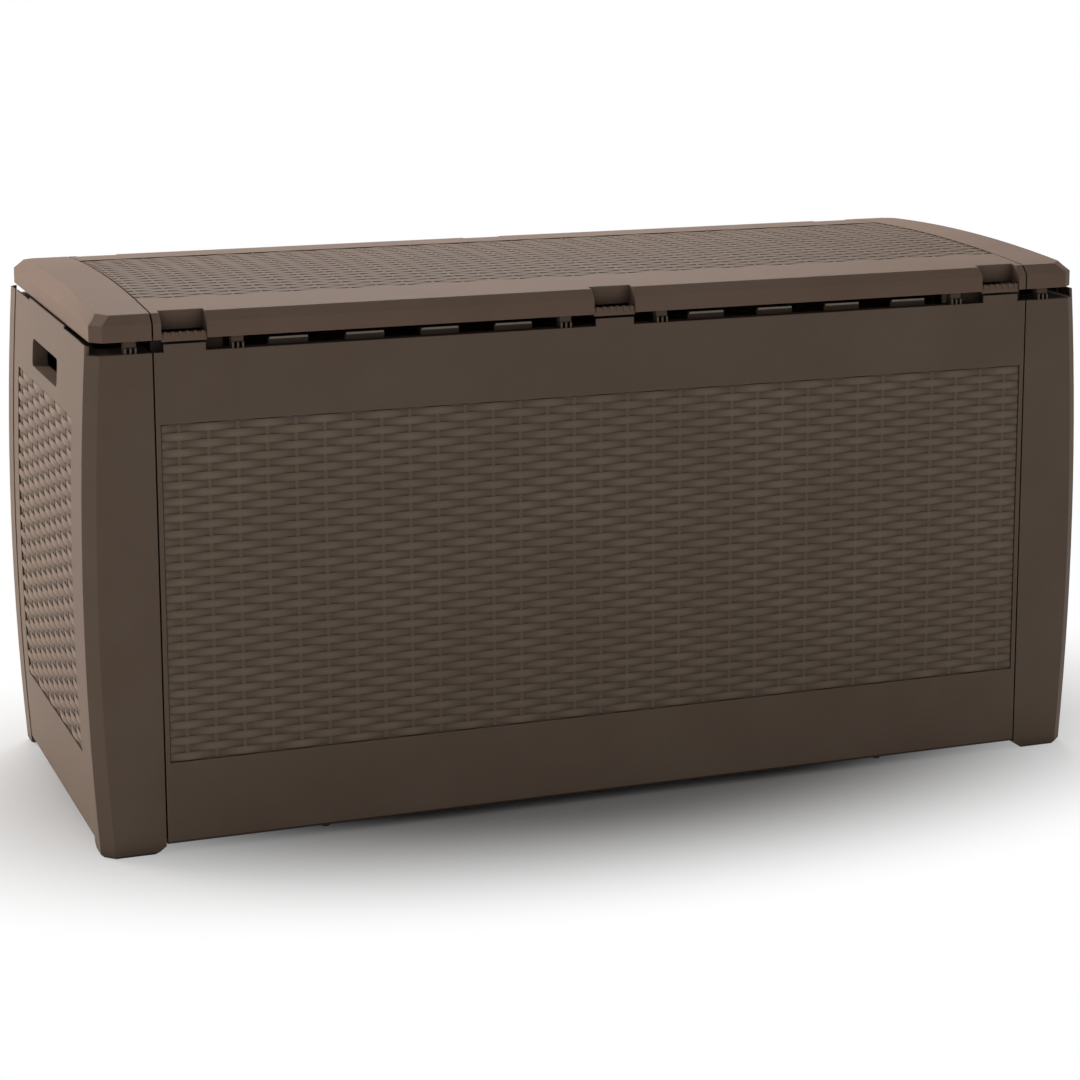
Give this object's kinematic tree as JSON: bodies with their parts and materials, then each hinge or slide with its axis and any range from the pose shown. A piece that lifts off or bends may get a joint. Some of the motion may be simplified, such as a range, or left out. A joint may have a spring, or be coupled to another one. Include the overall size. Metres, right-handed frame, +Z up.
{
  "type": "deck storage box",
  "caption": "Long resin storage box with woven-look panels, corner posts with feet, end hand holes and a hinged crowned lid.",
  "frame": {"origin": "on the ground under the middle of the box", "axes": "+X along the length to the right end, +Y to the hinged rear, +Z up"},
  "size_m": [1.2, 0.482, 0.601],
  "materials": {
    "resin": "satin",
    "liner_resin": "matte",
    "steel": "satin"
  },
  "bodies": {
    "box": {"floor_panel": "resin", "front_wall": "resin", "rear_wall": "resin", "left_end_wall": "resin", "right_end_wall": "resin", "front_left_post": "resin", "front_right_post": "resin", "rear_left_post": "resin", "rear_right_post": "resin", "edge_clips": "steel", "floor_screws": "steel", "wall_screws": "steel", "hinge_pin_left": "steel", "hinge_pin_centre": "steel", "hinge_pin_right": "steel"},
    "lid": {"lid_centre_panel": "resin", "lid_left_cap": "resin", "lid_right_cap": "resin", "lid_liner": "liner_resin", "lid_screws": "steel", "grip_strip_left": "resin", "grip_strip_centre": "resin", "grip_strip_right": "resin"}
  },
  "joints": [
    {"name": "lid_hinge", "type": "hinge", "parent": "box", "child": "lid", "pos_m": [0, 0.234, 0.562], "axis": [-1, 0, 0], "range_deg": [0, 105]}
  ]
}
